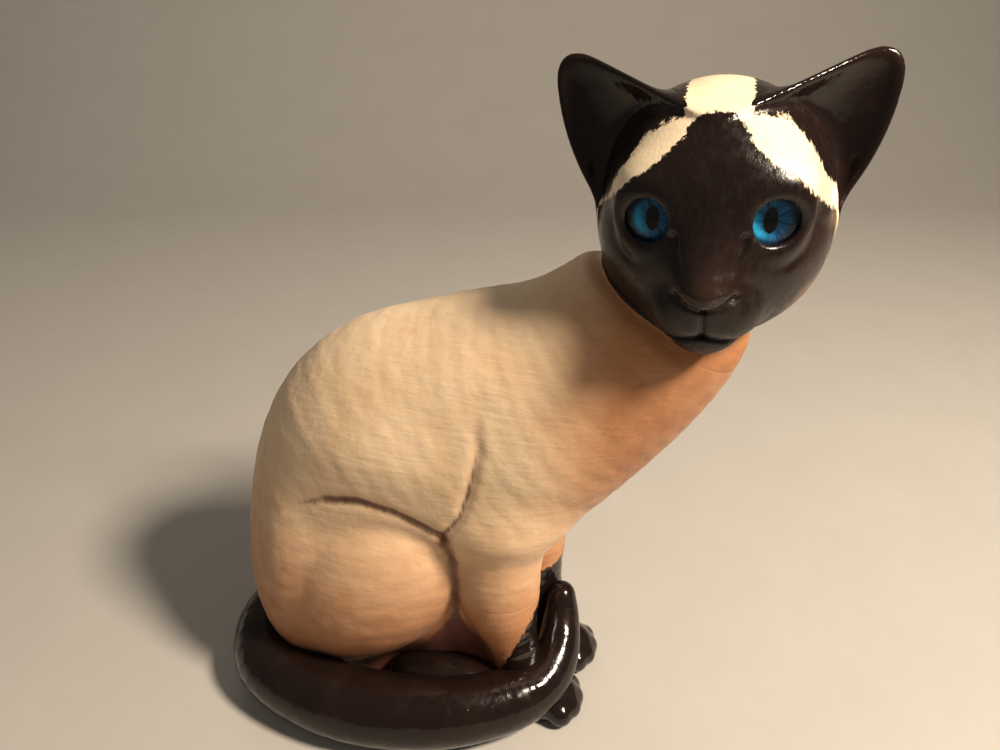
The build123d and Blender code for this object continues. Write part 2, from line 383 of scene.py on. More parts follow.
def face(p):
    """The skull with eyelids, sockets, nose, mouth and the creases below the eyes."""
    field = skull(p)
    for side in SIDES.values():
        across, up, out = eye_frame(p, side)
        ring = np.sqrt(across ** 2 + up ** 2)
        lid = np.sqrt((ring - 10.2) ** 2 + (out + 1.6) ** 2) - 2.1
        field = union(field, lid, 5.0)
        hollow = np.sqrt((ring - 15.0) ** 2 + (out + 0.5) ** 2)
        below = ramp(-up, -2, 6)
        field = field + 0.5 * below * np.exp(-(hollow / 2.2) ** 2)
        socket = np.minimum(ring - 7.6, np.sqrt(ring ** 2 + (out + 9.4) ** 2) - 11.9)
        field = carve(field, np.maximum(np.maximum(socket, ring - 9.6), -out - 9.0), 1.0)
        corner = cone(p, (side * 11.6, -41.5, 0.5), (side * 8.6, -46.5, -9), 1.5, 0.7)
        field = carve(field, corner, 1.6)
    front = ramp(-p[1], 30, 40)
    nose = ellipsoid(p, (0, -47.5, -17.2), (7.5, 5.0, 4.2))
    field = union(field, nose, 2.5)
    for side in SIDES.values():
        nostril = cone(p, (side * 2.6, -53.2, -18.6), (side * 6.0, -50.0, -17.4), 1.1, 0.8)
        field = carve(field, nostril, 1.2)
    field = field + front * groove(line_gap(p[0], p[2], NOSE_LINE), 1.2, 1.1)
    field = field + front * groove(line_gap(p[0], p[2], [(0, -22), (0, -33.4)]), 1.1, 0.9)
    field = field + front * groove(line_gap(p[0], p[2], MOUTH_LINE), 1.5, 1.0)
    return field


def head(p):
    field = face(p)
    for side in SIDES.values():
        field = union(field, ear(p, side), 7.0)
    return field


# ---- pieces: each is its own part of one continuous skin ----

NECK_JOINT = (-14, 216)     # back and height of the joint between neck and head
NECK_LEAN = math.radians(30)
LEG_JOINT = 74              # height at which a foreleg is joined to the body

def own_part(field, beyond, skirt=4.0):
    """Only the part of a skin that belongs to a piece. Past its edge it sinks under its neighbour."""
    return np.maximum(field + 0.35 * np.maximum(beyond, 0), beyond - skirt)


def beyond_neck(p):
    """Height above the joint between neck and head."""
    height = (p[2] - NECK_JOINT[1]) * F32(math.cos(NECK_LEAN))
    return height - (p[1] - NECK_JOINT[0]) * F32(math.sin(NECK_LEAN))


def joined(body, q):
    """Body and head as one skin, pressed in and sharp under the jaw and soft at the nape."""
    nape = ramp(q[1], 0, 28)
    overhang = 4 * np.exp(-(np.maximum(skull(q), 0) / 6) ** 2) * (1 - nape)
    return union(body + overhang, head(q), 2.0 + 12 * nape)


def beyond_legs(p):
    return np.maximum(p[2] - LEG_JOINT, forelegs(p) - trunk(p))


def body_field(p):
    beyond = np.maximum(beyond_neck(p), -beyond_legs(p))
    skin = np.maximum(own_part(joined(upper_body(p), cat_to_head(p)), beyond), -p[2])
    drain = np.sqrt(p[0] ** 2 + (p[1] - DRAIN_BACK) ** 2) - DRAIN_RADIUS
    return carve(skin, np.maximum(drain, p[2] - DRAIN_DEPTH), 1.5)


def head_field(q):
    p = head_to_cat(q)
    ears = np.minimum(ear(q, 1), ear(q, -1))
    beyond = np.maximum(-beyond_neck(p), skull(q) - ears)
    return own_part(joined(torso(p) + tool_marks(p), q), beyond)


def ear_field(q, side):
    return own_part(head(q), ear(q, side) - skull(q))


def foreleg_field(p, side):
    leg = union(foreleg(p, side), forepaw(p, side), 5.0)
    skin = union(upper_body(p), forepaw(p, side), 5.0)
    skin = np.where(p[2] > 40, skin, union(leg, skin, 1.0))
    other = -side * p[0]
    beyond = np.maximum(np.maximum(p[2] - LEG_JOINT, leg - trunk(p)), other)
    return np.maximum(own_part(skin, beyond), -p[2])


def hind_paw_field(p, side):
    paw = hind_paw(p, side)
    return np.maximum(carve(paw, trunk(p) + 1.5, 1.0), -p[2])


def tail_field(p):
    return carve(tail(p), trunk(p) + 2.0, 1.0)


# ---- from field to mesh ----

def sculpt(name, field, low, high, step, place):
    axes = [np.arange(low[axis], high[axis] + step, step, dtype=F32) for axis in range(3)]
    p = (axes[0][:, None, None], axes[1][None, :, None], axes[2][None, None, :])
    values = np.broadcast_to(field(p), [len(axis) for axis in axes]).astype(F32)
    grid = openvdb.FloatGrid(3.0 * step)
    grid.copyFromArray(np.ascontiguousarray(np.clip(values, -3 * step, 3 * step)))
    points, quads = grid.convertToQuads(0.0)
    points = np.array(points, float) * step + np.array(low, float)
    mesh = bpy.data.meshes.new(name)
    mesh.from_pydata(place(points).tolist(), [], np.array(quads)[:, ::-1].tolist())
    mesh.update()
    mesh.shade_smooth()
    piece = bpy.data.objects.new(name, mesh)
    bpy.context.scene.collection.objects.link(piece)
    return piece, tuple(points[:, axis].astype(F32) for axis in range(3))


def paint(piece, name, values):
    """Stores one number a vertex for the materials to read."""
    layer = piece.data.attributes.new(name, "FLOAT", "POINT")
    layer.data.foreach_set("value", np.broadcast_to(values, len(piece.data.vertices)).astype(F32))


# ---- where the paint goes ----

# half of the dark mask's upper edge and lower edge in the front view: sideways, up
MASK_TOP = [(0, 37.8), (6, 36.5), (8.7, 34), (9.6, 31), (13.5, 27), (18, 22.8), (24, 19.5), (29, 15.5),
            (36, 7), (43, 0)]
MASK_JAW = [(0, -45), (9, -39.5), (12.5, -31), (14, -26), (18, -21.5), (22, -17), (27, -11), (40, -7)]
MASK_BACK = (7, 20)         # how far back the mask reaches below the left and the right ear
# how far the dark tufts at an ear's root reach past the root line, from the crown outwards
CROWN_GAP = 11              # half of the cream gap between the two ears' tufts
TUFTS = {
    "left": ([10, 14, 22, 30, 37], [3.8, 0.6, -4.4, -5.2, -2.5]),
    "right": ([10, 14, 22, 30, 37], [3.8, 1.2, -2.4, -2.0, 1.0]),
}


def above_line(u, v, points):
    """Signed distance to a line that runs sideways; positive above it."""
    heights = np.interp(u, [point[0] for point in points], [point[1] for point in points])
    return np.where(v > heights, 1, -1) * line_gap(u, v, points)


def head_glaze(q):
    """Signed distance into the dark paint of the head, positive inside."""
    out = np.abs(q[0])
    lower = 14 * ramp(q[0], 0, 15) + 16 * ramp(-q[0], 2, 16)
    jaw = above_line(out, q[2], MASK_JAW) + lower
    back = MASK_BACK[0] + (MASK_BACK[1] - MASK_BACK[0]) * ramp(-q[0], -6, 14) * ramp(-q[2], -6, 6)
    glaze = np.minimum(np.minimum(-above_line(out, q[2], MASK_TOP), jaw), back - q[1])
    glaze = np.minimum(glaze, 6 * (1.2 - face(q)))      # the neck below the jaw stays cream
    for name, side in SIDES.items():
        tuft = np.minimum(ear_base(q, side) + np.interp(out, *TUFTS[name]), q[0] * side - CROWN_GAP)
        glaze = np.maximum(glaze, np.minimum(tuft, 20 - q[1]))
        glaze = np.maximum(glaze, skull(q) - ear(q, side) - 2)
    return glaze


def gap_by_haunch(p):
    """Distance to the valley where a haunch meets a foreleg, below the end of the haunch's crease."""
    gaps = []
    filled = 3 + 9 * ramp(p[2], 80, 106)        # how deep the blended skin fills the valley
    for side in SIDES.values():
        ahead = foreleg(p, side)
        behind = haunch(p, side)
        gaps.append(np.abs(ahead - behind) * 0.6 + np.maximum(np.minimum(ahead, behind) - filled, 0))
    return np.minimum.reduce(gaps) + np.maximum(p[2] - HAUNCH_CREASE[-1][1], 0)


def foreleg_glaze(p, side):
    """Dark on the front of the near leg up to a slanting line, and on the far leg up to the wrist."""
    if side < 0:
        slant = -((p[1] - 41) * 0.92 + (p[2] - 28) * 0.38)
        return np.maximum(slant, 20 - p[2])
    return 65 - p[2] - 0.25 * (p[1] - 24)


def crease_gap(p):
    """Distance to the painted creases, with each one's own width and fading."""
    fade = 3 * ramp(p[2], 140, 185)
    ends = 2.5 * ramp(p[1], 112, 136)
    return np.minimum.reduce([
        line_gap(p[1], p[2], HAUNCH_CREASE) + ends,
        line_gap(p[1], p[2], FLANK_CREASE) * 2.2 + fade,
        gap_by_haunch(p),
    ])


def body_shade(p):
    """How much painted shade goes on: in the gaps by the belly and the feet, along the creases, more
    towards the bottom, and a painted shadow of the head on the chest and under the jaw.
    """
    gaps = []
    for side in SIDES.values():
        gaps.append(np.minimum(haunch(p, side), foreleg(p, side)))
    gap = np.minimum.reduce(gaps)
    belly = ramp(gap, 0.2, 4) * (1 - ramp(p[2], 84, 116)) * (1 - ramp(p[1], 92, 116))
    foot = ramp(gap, 1.0, 5) * (1 - ramp(p[2], 26, 46)) * ramp(np.abs(p[0]), 10, 20)
    flank = ramp(np.abs(p[0]), 18, 30)
    creases = 0.3 * np.exp(-(line_gap(p[1], p[2], HAUNCH_CREASE) / 7) ** 2) * (1 - ramp(p[1], 100, 136))
    creases = np.maximum(creases, 0.45 * np.exp(-(gap_by_haunch(p) / 5) ** 2))
    creases = np.maximum(creases, 0.2 * np.exp(-(line_gap(p[1], p[2], FLANK_CREASE) / 5) ** 2))
    # painted shade heavier towards the bottom, and the head's painted shadow on the chest and under the
    # jaw
    low = 0.8 * (1 - ramp(p[2], 0, 190))
    throat = 0.62 * (1 - ramp(p[1], -14, 46)) * ramp(p[2], 50, 140) * (1 - ramp(p[2], 222, 250))
    q = cat_to_head(p)
    jaw = 0.6 * ramp(-q[2], 6, 26) * (1 - ramp(skull(q), 2, 15)) * (1 - ramp(q[1], 0, 26))
    return np.clip(np.maximum.reduce([belly, foot, creases * flank, low, throat, jaw]), 0, 1)


# ---- materials ----

class Recipe:
    """A material and short ways to add nodes to it."""

    def __init__(self, name):
        self.material = bpy.data.materials.new(name)
        self.material.use_nodes = True
        self.tree = self.material.node_tree
        self.shader = self.tree.nodes["Principled BSDF"]
        self.place = self.node("ShaderNodeTexCoord").outputs["Object"]

    def node(self, kind, **settings):
        node = self.tree.nodes.new(kind)
        for name, value in settings.items():
            setattr(node, name, value)
        return node

    def feed(self, socket, value):
        if isinstance(value, bpy.types.NodeSocket):
            self.tree.links.new(value, socket)
        else:
            socket.default_value = value

    def set(self, **values):
        """Plain numbers or links for the shader, such as coat_weight=1."""
        for name, value in values.items():
            self.feed(self.shader.inputs[name.replace("_", " ").title().replace("Ior", "IOR")], value)

    def math(self, operation, *values):
        node = self.node("ShaderNodeMath", operation=operation)
        for socket, value in zip(node.inputs, values):
            self.feed(socket, value)
        return node.outputs[0]

    def number(self, name):
        return self.node("ShaderNodeAttribute", attribute_name=name).outputs["Fac"]

    def noise(self, size, detail=4.0, roughness=0.55, turn=(0, 0, 0), stretch=(1, 1, 1)):
        """Noise with features of about `size` millimetres."""
        mapping = self.node("ShaderNodeMapping")
        self.feed(mapping.inputs["Vector"], self.place)
        self.feed(mapping.inputs["Rotation"], tuple(math.radians(angle) for angle in turn))
        self.feed(mapping.inputs["Scale"], stretch)
        node = self.node("ShaderNodeTexNoise")
        self.feed(node.inputs["Vector"], mapping.outputs[0])
        self.feed(node.inputs["Scale"], 1 / (size * MM))
        self.feed(node.inputs["Detail"], detail)
        self.feed(node.inputs["Roughness"], roughness)
        return node.outputs[0]

    def step(self, value, low, high, start=0.0, end=1.0):
        node = self.node("ShaderNodeMapRange", interpolation_type="SMOOTHSTEP")
        for name, number in zip(("Value", "From Min", "From Max", "To Min", "To Max"),
                                (value, low, high, start, end)):
            self.feed(node.inputs[name], number)
        return node.outputs[0]

    def mix(self, share, a, b):
        node = self.node("ShaderNodeMix", data_type="RGBA")
        self.feed(node.inputs[0], share)
        for socket, value in zip(node.inputs[6:8], (a, b)):
            self.feed(socket, value if isinstance(value, bpy.types.NodeSocket) else (*value, 1))
        return node.outputs[2]

    def bump(self, height, distance_mm, strength=1.0, under=None):
        node = self.node("ShaderNodeBump")
        self.feed(node.inputs["Height"], height)
        self.feed(node.inputs["Distance"], distance_mm * MM)
        self.feed(node.inputs["Strength"], strength)
        if under is not None:
            self.feed(node.inputs["Normal"], under)
        return node.outputs[0]


CREAM = (0.77, 0.57, 0.37)
CREAM_WORN = (0.60, 0.36, 0.17)
CREAM_GLAZED = (0.92, 0.78, 0.56)
# the colours of the painted shade: tan, and on the next line a deep reddish brown for where it is
# heaviest; tan also tints small specks in the clay
TAN = (0.40, 0.155, 0.05)
DEEP_SHADE_BROWN = (0.13, 0.036, 0.017)
LINE_BROWN = (0.12, 0.04, 0.017)
GLAZE = (0.0095, 0.005, 0.004)
GLAZE_THIN = (0.026, 0.012, 0.008)


def cream_colour(recipe):
    """Cream stain, darker in the tool marks and patchy where it was rubbed on by hand."""
    patches = recipe.noise(34, 3)
    colour = recipe.mix(recipe.step(patches, 0.4, 0.75, 0, 0.35), CREAM, CREAM_WORN)
    streaks = recipe.noise(4.2, 5, 0.6, (38, 0, 0), (1, 0.14, 1))
    colour = recipe.mix(recipe.step(streaks, 0.52, 0.74, 0, 0.28), colour, CREAM_WORN)
    specks = recipe.noise(1.1, 2)
    return recipe.mix(recipe.step(specks, 0.66, 0.8, 0, 0.35), colour, TAN)


def shaded(recipe, colour):
    """Painted shade: tan, and reddish brown where it is deepest, a little uneven."""
    clouds = recipe.math("MULTIPLY_ADD", recipe.noise(14), 0.2, -0.1)
    shade = recipe.math("ADD", recipe.number("shade"), clouds)
    colour = recipe.mix(recipe.step(shade, 0.0, 0.75), colour, TAN)
    return recipe.mix(recipe.step(shade, 0.5, 1.0), colour, DEEP_SHADE_BROWN)


def cream_relief(recipe, share=1.0):
    """Brush and scraper marks in the dry clay, and a fine grain."""
    slanting = recipe.noise(2.6, 5, 0.6, (38, 0, 0), (1, 0.1, 1))
    level = recipe.noise(3.4, 4, 0.55, (-24, 0, 0), (1, 0.16, 1))
    dents = recipe.noise(9, 2)
    strength = recipe.math("MULTIPLY", share, 0.4)
    normal = recipe.bump(slanting, 0.5, strength)
    normal = recipe.bump(level, 0.6, strength, normal)
    normal = recipe.bump(dents, 1.0, strength, normal)
    return recipe.bump(recipe.noise(0.45, 2), 0.12, strength, normal)


def bisque_material():
    """The body: dry cream clay with painted shade in tan and brown, and hand-painted creases."""
    recipe = Recipe("cream_bisque_skin")
    colour = cream_colour(recipe)
    colour = shaded(recipe, colour)
    hairs = recipe.noise(3.0, 5, 0.7, (62, 0, 0), (1, 1, 0.3))
    ragged = recipe.math("MULTIPLY_ADD", hairs, 4.4, -2.2)
    gap = recipe.math("ADD", recipe.number("crease"), ragged)
    line = recipe.step(gap, 0.2, 3.2, 0.9, 0)
    colour = recipe.mix(recipe.math("MULTIPLY", line, recipe.number("flank")), colour, LINE_BROWN)
    rough = recipe.step(recipe.noise(7), 0.3, 0.7, 0.5, 0.72)
    recipe.set(base_color=colour, roughness=rough, normal=cream_relief(recipe), sheen_weight=0.05)
    return recipe.material


def point_colour(recipe):
    """Black-brown glaze, thinner and redder in patches."""
    thin = recipe.step(recipe.noise(16, 4), 0.45, 0.8)
    return recipe.mix(recipe.math("MULTIPLY", thin, 0.45), GLAZE, GLAZE_THIN)


def face_material():
    """The head: brushed dark mask and tufts over glazed cream, with ragged painted edges."""
    recipe = Recipe("painted_face")
    hairs = recipe.noise(1.5, 4, 0.7, (0, 0, 0), (1, 1, 0.35))
    blots = recipe.noise(4.5, 3)
    ragged = recipe.math("ADD", recipe.math("MULTIPLY_ADD", hairs, 3.6, -1.8),
                         recipe.math("MULTIPLY_ADD", blots, 3.2, -1.6))
    depth = recipe.math("ADD", recipe.number("glaze"), ragged)
    sharp = recipe.step(depth, -0.25, 0.25)
    spray = recipe.step(recipe.number("glaze"), -5, 6)
    soft = recipe.number("soft")
    dark = recipe.math("ADD", recipe.math("MULTIPLY", sharp, recipe.math("SUBTRACT", 1, soft)),
                       recipe.math("MULTIPLY", spray, soft))
    pale = recipe.number("pale")
    crown = recipe.mix(recipe.math("MULTIPLY", pale, 0.6), cream_colour(recipe), CREAM_GLAZED)
    # the cream gets painted shade in tan and brown
    cream = shaded(recipe, crown)
    brushed = recipe.step(recipe.noise(2.2, 4, 0.6, (0, 0, 0), (1, 1, 0.25)), 0.42, 0.75)
    mask = recipe.mix(recipe.math("MULTIPLY", brushed, 0.4), GLAZE, GLAZE_THIN)
    # painted sheen: a lighter, redder brown on the bridge of the nose; the left cheek gets the same
    # lighter brown
    mask = recipe.mix(recipe.math("MULTIPLY", recipe.number("muzzle"), 0.5), mask, (0.04, 0.02, 0.014))
    colour = recipe.mix(dark, cream, mask)
    satin = recipe.step(recipe.noise(3.2, 4), 0.3, 0.72, 0.15, 0.33)
    dry = recipe.math("SUBTRACT", 1, recipe.number("gloss"))
    rough = recipe.math("ADD", satin, recipe.math("MULTIPLY", dry, 0.32))
    strokes_relief = recipe.noise(1.3, 4, 0.65, (0, 0, 0), (1, 1, 0.22))
    normal = cream_relief(recipe, recipe.step(pale, 0, 1, 1, 0.25))
    normal = recipe.bump(strokes_relief, 0.3, recipe.math("MULTIPLY", pale, 0.5), normal)
    normal = recipe.bump(dark, 0.25, 0.6, normal)
    recipe.set(base_color=colour, roughness=rough, normal=normal, specular_ior_level=0.4)
    return recipe.material


def foreleg_material():
    """Dry cream above, glossy dark below, with tufts between them."""
    recipe = Recipe("painted_foreleg")
    hairs = recipe.noise(1.5, 4, 0.7, (0, 0, 0), (1, 1, 0.3))
    depth = recipe.math("ADD", recipe.number("glaze"), recipe.math("MULTIPLY_ADD", hairs, 6.0, -3.0))
    dark = recipe.step(depth, -0.3, 0.3)
    # the cream gets painted shade in tan and brown
    cream = shaded(recipe, cream_colour(recipe))
    gap = recipe.math("ADD", recipe.number("crease"), recipe.math("MULTIPLY_ADD", hairs, 3.0, -1.5))
    line = recipe.math("MULTIPLY", recipe.step(gap, 0.4, 2.8, 0.9, 0), recipe.number("flank"))
    cream = recipe.mix(line, cream, LINE_BROWN)
    colour = recipe.mix(dark, cream, point_colour(recipe))
    dry = recipe.step(recipe.noise(7), 0.3, 0.7, 0.5, 0.72)
    rough = recipe.math("ADD", recipe.math("MULTIPLY", dark, 0.13),
                        recipe.math("MULTIPLY", recipe.math("SUBTRACT", 1, dark), dry))
    normal = recipe.bump(recipe.noise(2.6, 5, 0.6, (20, 0, 0), (1, 1, 0.12)), 0.4, 0.4)
    normal = recipe.bump(dark, 0.3, 0.7, normal)
    recipe.set(base_color=colour, roughness=rough, normal=normal)
    return recipe.material


def glaze_material():
    """Tail, ears and hind paws: thick glossy glaze with slight ripples and pinholes."""
    recipe = Recipe("black_brown_glaze")
    ripples = recipe.noise(11, 2)
    peel = recipe.noise(2.4, 3)
    pits = recipe.step(recipe.noise(1.6, 1), 0.22, 0.3, 0, 1)
    normal = recipe.bump(ripples, 1.3, 0.45)
    normal = recipe.bump(peel, 0.22, 0.4, normal)
    normal = recipe.bump(pits, 0.12, 0.4, normal)
    rough = recipe.step(recipe.noise(9), 0.35, 0.7, 0.09, 0.24)
    recipe.set(base_color=point_colour(recipe), roughness=rough, normal=normal, specular_ior_level=0.36)
    return recipe.material


def slip_material():
    """The bead of joining slip inside the neck: dry, lumpy, unpainted."""
    recipe = Recipe("dry_joining_slip")
    colour = recipe.mix(recipe.step(recipe.noise(6), 0.35, 0.7), (0.66, 0.55, 0.42), (0.5, 0.38, 0.27))
    recipe.set(base_color=colour, roughness=recipe.step(recipe.noise(3), 0.3, 0.7, 0.75, 0.95),
               normal=recipe.bump(recipe.noise(2.5, 5), 0.8, 0.7))
    return recipe.material


def putty_material():
    recipe = Recipe("set_eye_putty")
    colour = recipe.mix(recipe.noise(1.5), (0.012, 0.008, 0.007), (0.045, 0.03, 0.024))
    recipe.set(base_color=colour, roughness=recipe.step(recipe.noise(2), 0.3, 0.7, 0.45, 0.7),
               normal=recipe.bump(recipe.noise(1.2), 0.3, 0.5))
    return recipe.material


def iris_material():
    """Blue enamel: fibres from the pupil outwards, a dark rim, and a painted caustic: pale cyan light
    that the glass dome throws onto the lower side.
    """
    recipe = Recipe("blue_iris_enamel")
    fine = recipe.noise(0.5, 3)
    fibre = recipe.math("ADD", recipe.number("fibre"), recipe.math("MULTIPLY_ADD", fine, 0.5, -0.25))
    colour = recipe.mix(recipe.step(fibre, 0.1, 0.95), (0.002, 0.03, 0.09), (0.008, 0.11, 0.25))
    # painted caustic: pale cyan light on the lower side of the iris
    colour = recipe.mix(recipe.number("painted_caustic"), colour, (0.03, 0.42, 0.72))
    colour = recipe.mix(recipe.number("rim"), colour, (0.002, 0.008, 0.02))
    recipe.set(base_color=colour, roughness=recipe.step(fine, 0.3, 0.7, 0.35, 0.5),
               normal=recipe.bump(fibre, 0.15, 0.5), specular_ior_level=0.0)
    return recipe.material


def pupil_material():
    recipe = Recipe("black_pupil_enamel")
    colour = recipe.mix(recipe.noise(0.8), (0.001, 0.001, 0.0015), (0.003, 0.003, 0.004))
    recipe.set(base_color=colour, roughness=recipe.step(recipe.noise(1.5), 0.3, 0.7, 0.3, 0.4),
               specular_ior_level=0.0)
    return recipe.material


def glass_material():
    """Clear glass that lets the lamps light the painted iris behind it."""
    recipe = Recipe("clear_eye_glass")
    recipe.set(base_color=(0.96, 0.99, 1.0, 1), transmission_weight=1.0, ior=1.22,
               roughness=recipe.step(recipe.noise(5), 0.3, 0.7, 0.035, 0.055))
    clear = recipe.node("ShaderNodeBsdfTransparent")
    rays = recipe.node("ShaderNodeLightPath")
    either = recipe.node("ShaderNodeMixShader")
    recipe.feed(either.inputs[0], rays.outputs["Is Shadow Ray"])
    recipe.feed(either.inputs[1], recipe.shader.outputs[0])
    recipe.feed(either.inputs[2], clear.outputs[0])
    recipe.feed(recipe.tree.nodes["Material Output"].inputs["Surface"], either.outputs[0])
    return recipe.material


def floor_material():
    recipe = Recipe("pale_floor")
    colour = recipe.mix(recipe.noise(60, 3), (0.42, 0.395, 0.36), (0.46, 0.435, 0.4))
    recipe.set(base_color=colour, roughness=recipe.step(recipe.noise(12), 0.3, 0.7, 0.5, 0.62))
    return recipe.material


# ---- the pieces ----

# spacing of the sculpting grids, in millimetres
BODY_GRID = 1.4
HEAD_GRID = 0.8
EAR_GRID = 0.7
LEG_GRID = 0.9
TAIL_GRID = 1.0


def side_box(side, inner, outer, low, high):
    """Corners of a box beside the midline: sideways limits, then back and height of its corners."""
    near, far = sorted((side * inner, side * outer))
    return (near, *low), (far, *high)


def flank_share(p):
    """0 along the midline, where no crease is painted, and 1 on the flanks."""
    return ramp(np.abs(p[0]), 16, 27)


def dress(piece, material, slot, *nodes):
    """Gives a finished piece its material, hangs it under the root body and hides the CAD nodes it
    replaces; the slot is not used.
    """
    piece.data.materials.append(material)
    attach(piece, "root")
    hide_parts(*nodes)


def make_body(material):
    body, p = sculpt("body_skin", body_field, (-72, -66, -2), (72, 204, 256), BODY_GRID, cat_to_row)
    # painted shade in tan and brown
    paint(body, "shade", body_shade(p))
    paint(body, "crease", crease_gap(p))
    paint(body, "flank", flank_share(p))
    dress(body, material, "cream_bisque", "body_casting")


def make_head(material, ear_material):
    skin, q = sculpt("head_skin", head_field, (-60, -64, -62), (60, 58, 60), HEAD_GRID, head_to_row)
    paint_head(skin, q)
    dress(skin, material, "brown_glaze", "head_casting")
    for name, side in SIDES.items():
        low, high = side_box(side, 0, 72, (-30, -20), (45, 66))
        skin, _ = sculpt(f"{name}_ear_skin", lambda q: ear_field(q, side),
                         low, high, EAR_GRID, head_to_row)
        dress(skin, ear_material, "brown_glaze", f"{name}_ear")


def paint_head(piece, q):
    """Numbers for face_material: the mask, its sprayed side, painted shade, gloss, a painted sheen on
    the bridge of the nose and a lighter brown on the left cheek.
    """
    glaze = head_glaze(q)
    on_head = 1 - ramp(face(q), 0.8, 5)
    near_mask = ramp(glaze, -26, -8) * ramp(q[2], -40, -12) * (1 - ramp(q[1], 8, 30))
    paint(piece, "glaze", glaze)
    paint(piece, "soft", ramp(q[0], 6, 22) * (1 - ramp(q[2], -8, 4)))
    # painted shade, as on the body
    paint(piece, "shade", body_shade(head_to_cat(q)))
    paint(piece, "pale", on_head)
    paint(piece, "gloss", on_head * near_mask)
    # painted sheen on the bridge of the nose; the cheek term makes the left cheek a lighter brown
    muzzle = np.exp(-(q[0] / 9) ** 2 - ((q[2] + 13) / 9) ** 2) * ramp(-q[1], 38, 44)
    cheek = 0.8 * ramp(q[0], 24, 40) * (1 - ramp(q[2], -4, 8))
    paint(piece, "muzzle", np.maximum(muzzle, cheek))


def make_legs(leg_material, paw_material):
    for name, side in SIDES.items():
        leg, p = sculpt(f"{name}_foreleg_skin", lambda p: foreleg_field(p, side),
                        (-46, -8, -2), (46, 84, 84), LEG_GRID, cat_to_row)
        paint(leg, "glaze", foreleg_glaze(p, side))
        # painted shade in tan and brown
        paint(leg, "shade", body_shade(p))
        paint(leg, "crease", crease_gap(p))
        paint(leg, "flank", flank_share(p))
        dress(leg, leg_material, "brown_glaze", f"{name}_foreleg")
        low, high = side_box(side, 10, 62, (30, -2), (116, 36))
        paw, _ = sculpt(f"{name}_hind_paw_skin", lambda p: hind_paw_field(p, side),
                        low, high, LEG_GRID, cat_to_row)
        dress(paw, paw_material, "brown_glaze", f"{name}_hind_paw")


def make_tail(material):
    skin, _ = sculpt("tail_skin", tail_field, (-88, -4, -2), (34, 196, 64), TAIL_GRID, cat_to_row)
    dress(skin, material, "brown_glaze", "tail")


# ---- glass eyes ----

EYE_RADIUS = 9.2
EYE_DOME = 4.5              # height of the clear dome
EYE_SKIRT = 1.2             # straight edge of the glass below the dome
PUPIL_HALF = (2.1, 3.9)
SPOKES = 96


def eye_axes(name, side):
    """Middle of the iris's front face, and the eye's own directions: across, up and out."""
    out = side * math.sin(EYE_SPLAY) * HEAD_SIDE - math.cos(EYE_SPLAY) * HEAD_BACK
    across = math.cos(EYE_SPLAY) * HEAD_SIDE + side * math.sin(EYE_SPLAY) * HEAD_BACK
    iris_middle = np.array(middle(f"{name}_eye_iris"))
    return iris_middle + 0.4 * MM * out, across, HEAD_UP, out


def disc(name, axes, profile, squeeze=(1.0, 1.0)):
    """Rings round an eye's axis: profile is (radius, out) in millimetres, from the middle outwards.
    A profile that comes back to the axis closes the piece behind."""
    origin, across, up, out = axes
    angles = np.arange(SPOKES) * 2 * math.pi / SPOKES
    closed = profile[-1][0] == 0
    rings = profile[1:-1] if closed else profile[1:]
    points = [origin + out * profile[0][1] * MM]
    for radius, depth in rings:
        for angle in angles:
            offset = across * math.cos(angle) * squeeze[0] + up * math.sin(angle) * squeeze[1]
            points.append(origin + (offset * radius + out * depth) * MM)
    faces = [(0, 1 + i, 1 + (i + 1) % SPOKES) for i in range(SPOKES)]
    for ring in range(len(rings) - 1):
        a = 1 + ring * SPOKES
        b = a + SPOKES
        for i in range(SPOKES):
            j = (i + 1) % SPOKES
            faces.append((a + i, b + i, b + j, a + j))
    if closed:
        last = 1 + (len(rings) - 1) * SPOKES
        points.append(origin + out * profile[-1][1] * MM)
        faces.extend((last + (i + 1) % SPOKES, last + i, len(points) - 1) for i in range(SPOKES))
    mesh = bpy.data.meshes.new(name)
    mesh.from_pydata([tuple(point) for point in points], [], faces)
    mesh.update()
    mesh.shade_smooth()
    piece = bpy.data.objects.new(name, mesh)
    bpy.context.scene.collection.objects.link(piece)
    return piece


def make_glass(name, axes, material):
    """A clear dome with a short straight edge and a flat back just in front of the iris."""
    curve = (EYE_RADIUS ** 2 + EYE_DOME ** 2) / (2 * EYE_DOME)
    centre = EYE_SKIRT + EYE_DOME - curve
    steps = np.linspace(0, 1, 25)
    dome = [(EYE_RADIUS * t, centre + math.sqrt(curve ** 2 - (EYE_RADIUS * t) ** 2)) for t in steps]
    back = [(EYE_RADIUS, 0.25), (EYE_RADIUS - 0.2, 0.05)]
    back += [(EYE_RADIUS * (1 - t), 0.05) for t in steps[2:]]
    piece = disc(f"{name}_glass_dome", axes, dome + back)
    dress(piece, material, "eye_glass", f"{name}_eye_glass")


